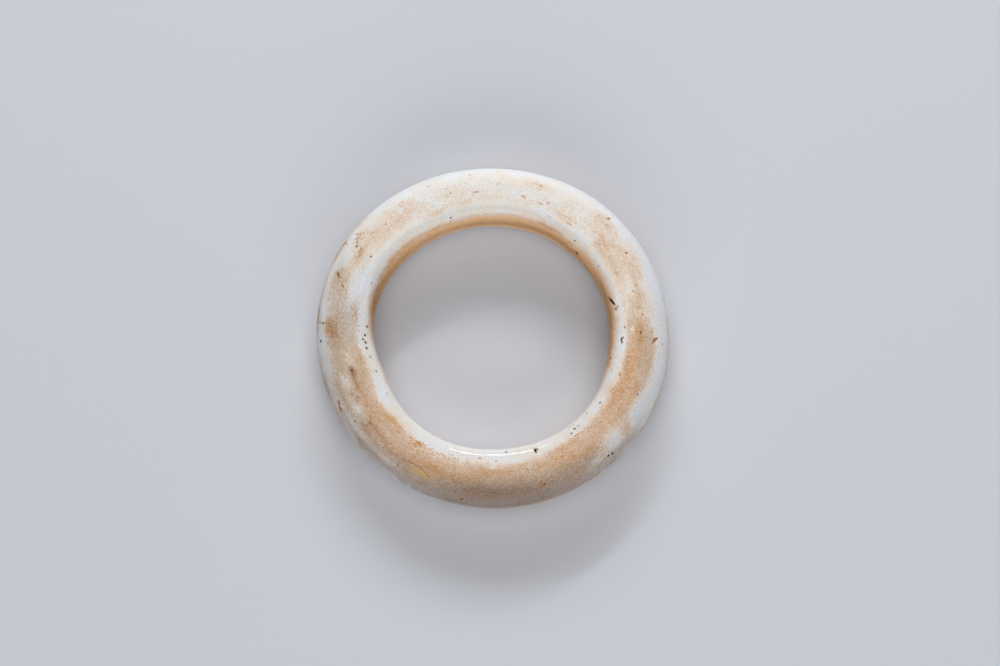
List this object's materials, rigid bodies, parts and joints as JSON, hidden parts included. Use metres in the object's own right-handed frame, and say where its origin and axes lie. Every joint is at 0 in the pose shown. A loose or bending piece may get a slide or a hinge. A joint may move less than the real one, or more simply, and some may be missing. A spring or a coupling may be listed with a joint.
{
  "type": "jade bracelet",
  "caption": "Hand-ground stone bangle with a D-shaped section, a crowned front face, a round rim and a nearly straight bore, lying on its back face.",
  "frame": {"origin": "on the surface that the ring lies on, under the middle of the box round its outline", "axes": "+Z out of the front face, towards the picture's camera; +Y towards the top of the ring in the picture; +X to its right"},
  "size_m": [0.0842, 0.083, 0.014],
  "materials": {
    "jade": "waxy polished bluish-white nephrite with tan burial staining"
  },
  "bodies": {
    "root": {"bracelet": "jade"}
  },
  "joints": []
}
